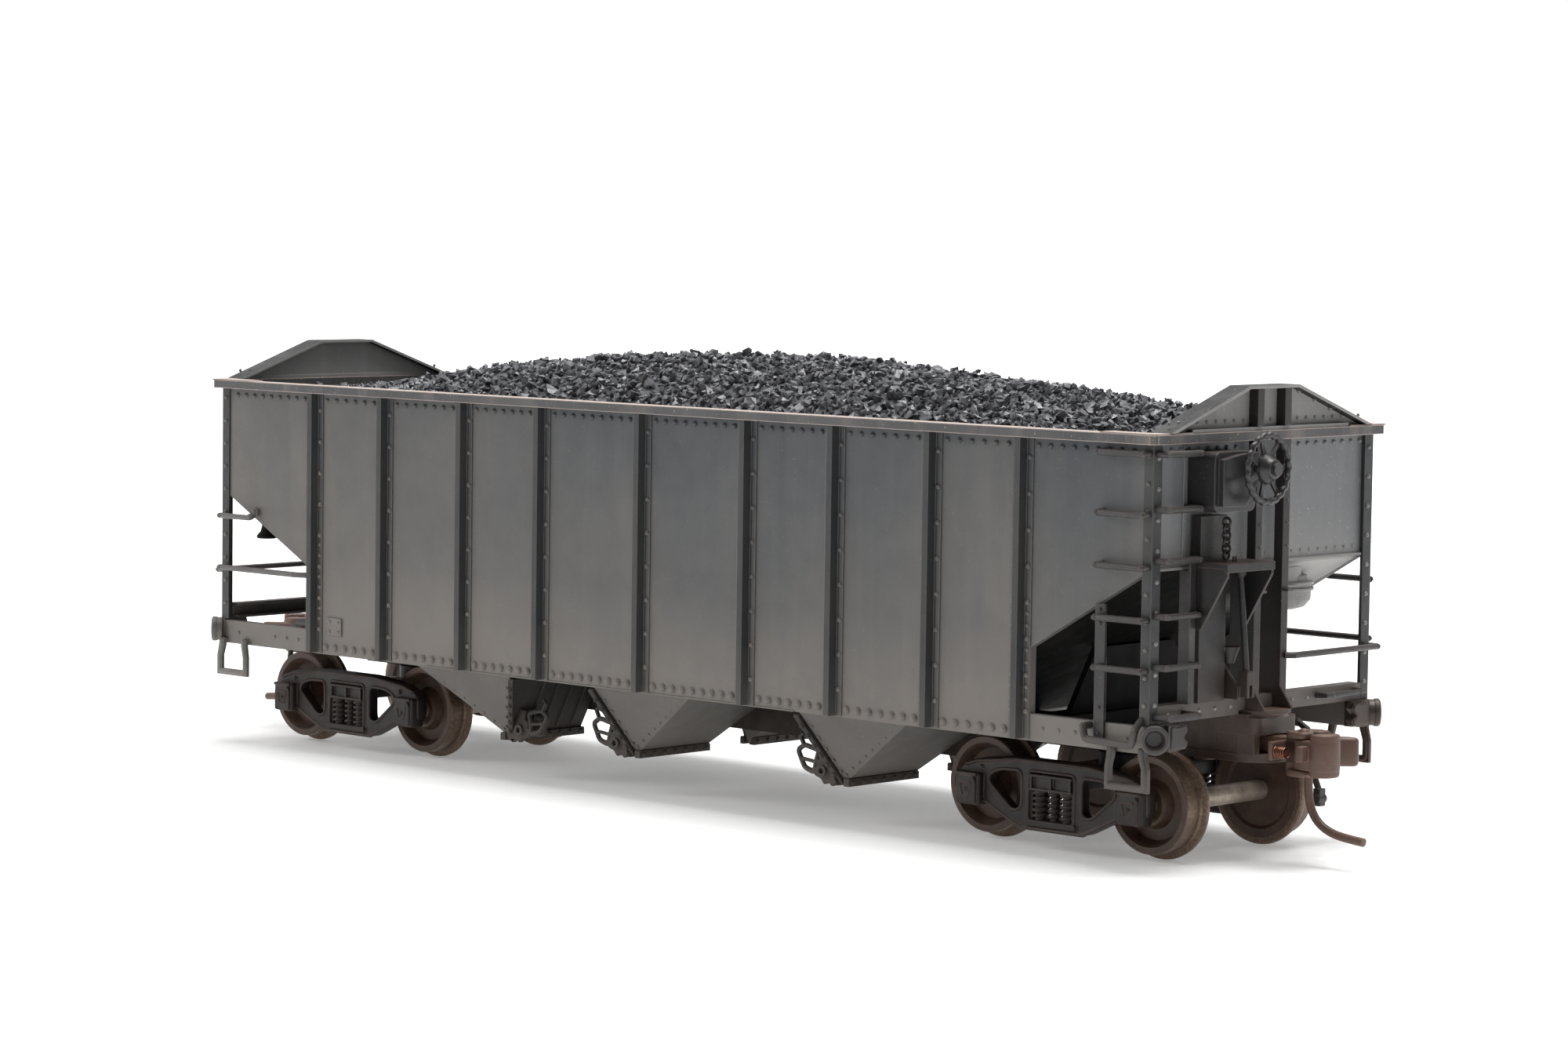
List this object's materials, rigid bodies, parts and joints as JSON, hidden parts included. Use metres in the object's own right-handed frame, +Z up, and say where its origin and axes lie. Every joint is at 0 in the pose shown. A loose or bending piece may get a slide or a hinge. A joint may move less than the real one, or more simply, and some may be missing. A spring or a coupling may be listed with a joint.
{
  "type": "model hopper car",
  "caption": "Scale model of a ribbed open hopper rail car with a removable coal load, swivelling trucks, rolling wheelsets, couplers and a handbrake wheel.",
  "frame": {"origin": "centre of the footprint, on the table under the wheel flanges", "axes": "+X along the car toward the brake-wheel end, -Y toward the near side, +Z up"},
  "size_m": [0.16, 0.037, 0.0464],
  "materials": {
    "body_paint": "weathered flat grey paint",
    "end_paint": "weathered flat grey paint",
    "under_paint": "dusty flat grey paint",
    "chord_paint": "dusty flat paint",
    "iron_paint": "flat grey paint, dusty edges",
    "truck_plastic": "flat dark brown",
    "wheel_metal": "rusty faces, bright worn treads",
    "axle_steel": "dull turned steel",
    "screw_steel": "dull steel",
    "coupler_cast": "flat rust-brown paint on a casting",
    "spring_copper": "thin copper-coloured wire",
    "hose_black": "flat black",
    "coal": "broken facets, matt with small glints"
  },
  "bodies": {
    "car_body": {"air_hose_a": "hose_black", "air_hose_b": "hose_black", "air_tank_b": "under_paint", "air_valve_a": "under_paint", "bolster_a": "under_paint", "bolster_b": "under_paint", "brake_housing": "end_paint", "brake_platform": "end_paint", "brake_rigging": "end_paint", "centre_sill": "under_paint", "corner_irons_al": "iron_paint", "corner_irons_ar": "iron_paint", "corner_irons_bl": "iron_paint", "corner_irons_br": "iron_paint", "draft_box_a": "coupler_cast", "draft_box_b": "coupler_cast", "end_posts_a": "end_paint", "end_posts_b": "end_paint", "end_sheet_a": "end_paint", "end_sheet_b": "end_paint", "end_sill_a": "end_paint", "end_sill_b": "end_paint", "floor_ridges": "under_paint", "grab_irons_a": "iron_paint", "grab_irons_b": "iron_paint", "heap_shield_a": "end_paint", "heap_shield_b": "end_paint", "hopper_bay_1": "under_paint", "hopper_bay_2": "under_paint", "hopper_bay_3": "under_paint", "hopper_doors_1": "under_paint", "hopper_doors_2": "under_paint", "hopper_doors_3": "under_paint", "kingpin_a": "screw_steel", "kingpin_b": "screw_steel", "side_posts_l": "body_paint", "side_posts_r": "body_paint", "side_sheet_l": "body_paint", "side_sheet_r": "body_paint", "slope_sheet_a": "under_paint", "slope_sheet_b": "under_paint", "top_chord": "chord_paint"},
    "load": {"coal_load": "coal"},
    "brake_wheel": {"brake_wheel": "end_paint"},
    "truck_a": {"truck_frame_a": "truck_plastic"},
    "coupler_a": {"coupler_a": "coupler_cast", "knuckle_spring_a": "spring_copper"},
    "knuckle_a": {"knuckle_a": "coupler_cast"},
    "truck_b": {"truck_frame_b": "truck_plastic"},
    "coupler_b": {"coupler_b": "coupler_cast", "knuckle_spring_b": "spring_copper"},
    "knuckle_b": {"knuckle_b": "coupler_cast"},
    "wheelset_1": {"wheels_1": "wheel_metal", "axle_1": "axle_steel"},
    "wheelset_2": {"wheels_2": "wheel_metal", "axle_2": "axle_steel"},
    "wheelset_3": {"wheels_3": "wheel_metal", "axle_3": "axle_steel"},
    "wheelset_4": {"wheels_4": "wheel_metal", "axle_4": "axle_steel"}
  },
  "joints": [
    {"name": "load_lift", "type": "slide", "parent": "car_body", "child": "load", "axis": [0, 0, 1], "range_m": [0, 0.012]},
    {"name": "brake_wheel_turn", "type": "hinge", "parent": "car_body", "child": "brake_wheel", "pos_m": [0.0724, -0.0061, 0.0381], "axis": [1, 0, 0], "continuous": true},
    {"name": "truck_swivel_a", "type": "hinge", "parent": "car_body", "child": "truck_a", "pos_m": [-0.0517, 0, 0.009], "axis": [0, 0, 1], "range_deg": [-12, 12]},
    {"name": "coupler_swing_a", "type": "hinge", "parent": "car_body", "child": "coupler_a", "pos_m": [-0.064, 0, 0.0113], "axis": [0, 0, 1], "range_deg": [-12, 12], "stiffness_Nm_per_rad": 0.0005},
    {"name": "knuckle_open_a", "type": "hinge", "parent": "coupler_a", "child": "knuckle_a", "pos_m": [-0.074, 0.0017, 0.0108], "axis": [0, 0, -1], "range_deg": [0, 20], "stiffness_Nm_per_rad": 0.0002},
    {"name": "truck_swivel_b", "type": "hinge", "parent": "car_body", "child": "truck_b", "pos_m": [0.0517, 0, 0.009], "axis": [0, 0, 1], "range_deg": [-12, 12]},
    {"name": "coupler_swing_b", "type": "hinge", "parent": "car_body", "child": "coupler_b", "pos_m": [0.064, 0, 0.0113], "axis": [0, 0, 1], "range_deg": [-12, 12], "stiffness_Nm_per_rad": 0.0005},
    {"name": "knuckle_open_b", "type": "hinge", "parent": "coupler_b", "child": "knuckle_b", "pos_m": [0.074, -0.0017, 0.0108], "axis": [0, 0, -1], "range_deg": [0, 20], "stiffness_Nm_per_rad": 0.0002},
    {"name": "wheelset_roll_1", "type": "hinge", "parent": "truck_a", "child": "wheelset_1", "pos_m": [-0.0619, 0, 0.00545], "axis": [0, 1, 0], "continuous": true},
    {"name": "wheelset_roll_2", "type": "hinge", "parent": "truck_a", "child": "wheelset_2", "pos_m": [-0.0415, 0, 0.00545], "axis": [0, 1, 0], "continuous": true},
    {"name": "wheelset_roll_3", "type": "hinge", "parent": "truck_b", "child": "wheelset_3", "pos_m": [0.0415, 0, 0.00545], "axis": [0, 1, 0], "continuous": true},
    {"name": "wheelset_roll_4", "type": "hinge", "parent": "truck_b", "child": "wheelset_4", "pos_m": [0.0619, 0, 0.00545], "axis": [0, 1, 0], "continuous": true}
  ]
}
